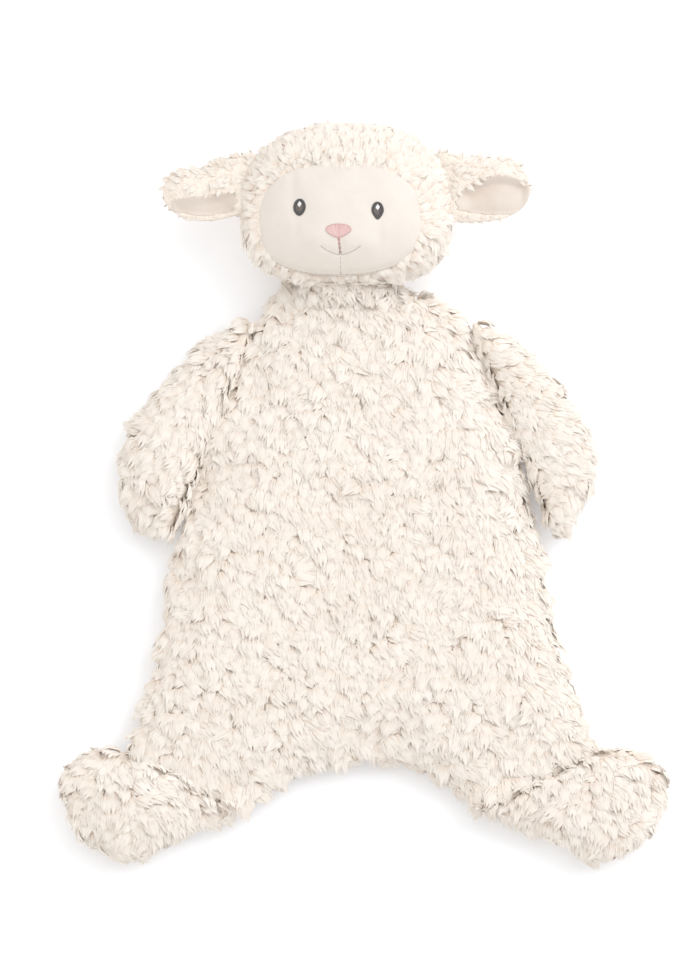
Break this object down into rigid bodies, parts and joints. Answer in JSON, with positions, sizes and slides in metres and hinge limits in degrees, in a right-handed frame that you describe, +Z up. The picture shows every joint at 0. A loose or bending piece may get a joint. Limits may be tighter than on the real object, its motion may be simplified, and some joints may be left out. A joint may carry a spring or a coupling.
{
  "type": "comfort blanket lovey",
  "caption": "Plush lamb comfort blanket lying flat: a shaggy pillow-like body with a stuffed head, smooth embroidered face, floppy ears, flap arms and feet.",
  "frame": {"origin": "on the floor, under the middle of the outline of the lamb as it lies on its back", "axes": "+X to the picture's right, +Y towards the head, +Z up and out of the face; left and right in the names are the picture's"},
  "size_m": [0.284, 0.35, 0.0589],
  "materials": {
    "plush": "matte",
    "velour": "matte",
    "filling": "matte",
    "dark_thread": "satin",
    "white_thread": "satin",
    "pink_thread": "satin",
    "grey_thread": "satin",
    "seam_thread": "matte"
  },
  "bodies": {
    "torso": {"torso_front_plush": "plush", "torso_back_plush": "plush", "torso_wadding": "filling"},
    "neck": {"neck_plug": "filling"},
    "head": {"head_hood_plush": "plush", "head_back_plush": "plush", "head_stuffing": "filling", "face_panel": "velour", "face_seam_thread": "seam_thread", "left_eye_stitching": "dark_thread", "left_eye_glint": "white_thread", "right_eye_stitching": "dark_thread", "right_eye_glint": "white_thread", "nose_stitching": "pink_thread", "lip_line_stitching": "pink_thread", "smile_stitching": "grey_thread", "chin_seam_thread": "seam_thread"},
    "left_ear": {"left_ear_plush": "plush", "left_ear_lining": "velour"},
    "right_ear": {"right_ear_plush": "plush", "right_ear_lining": "velour"},
    "left_arm": {"left_arm_front_plush": "plush", "left_arm_back_plush": "plush", "left_arm_stuffing": "filling", "left_arm_seam_thread": "seam_thread"},
    "right_arm": {"right_arm_front_plush": "plush", "right_arm_back_plush": "plush", "right_arm_stuffing": "filling", "right_arm_seam_thread": "seam_thread"},
    "left_foot": {"left_foot_front_plush": "plush", "left_foot_back_plush": "plush", "left_foot_stuffing": "filling", "left_foot_seam_thread": "seam_thread"},
    "right_foot": {"right_foot_front_plush": "plush", "right_foot_back_plush": "plush", "right_foot_stuffing": "filling", "right_foot_seam_thread": "seam_thread"}
  },
  "joints": [
    {"name": "neck_nod", "type": "hinge", "parent": "torso", "child": "neck", "pos_m": [-0.008, 0.09596, 0.016], "axis": [1, 0, 0], "range_deg": [-45, 50]},
    {"name": "head_turn", "type": "hinge", "parent": "neck", "child": "head", "pos_m": [-0.008, 0.107, 0.016], "axis": [0, 1, 0], "range_deg": [-30, 30], "stiffness_Nm_per_rad": 0.02},
    {"name": "left_ear_flap", "type": "hinge", "parent": "head", "child": "left_ear", "pos_m": [-0.0592, 0.14246, 0.0345], "axis": [0, 1, 0], "range_deg": [-40, 40], "stiffness_Nm_per_rad": 0.006},
    {"name": "right_ear_flap", "type": "hinge", "parent": "head", "child": "right_ear", "pos_m": [0.0432, 0.14246, 0.0345], "axis": [0, -1, 0], "range_deg": [-40, 40], "stiffness_Nm_per_rad": 0.006},
    {"name": "left_arm_swing", "type": "hinge", "parent": "torso", "child": "left_arm", "pos_m": [-0.04794, 0.08519, 0.011], "axis": [0.3805, 0.9248, 0], "range_deg": [-80, 80]},
    {"name": "right_arm_swing", "type": "hinge", "parent": "torso", "child": "right_arm", "pos_m": [0.04794, 0.08519, 0.011], "axis": [0.3805, -0.9248, 0], "range_deg": [-80, 80]},
    {"name": "left_foot_swing", "type": "hinge", "parent": "torso", "child": "left_foot", "pos_m": [-0.10938, -0.1232, 0.011], "axis": [-0.8815, 0.4721, 0], "range_deg": [-80, 80]},
    {"name": "right_foot_swing", "type": "hinge", "parent": "torso", "child": "right_foot", "pos_m": [0.10938, -0.1232, 0.011], "axis": [-0.8815, -0.4721, 0], "range_deg": [-80, 80]}
  ]
}
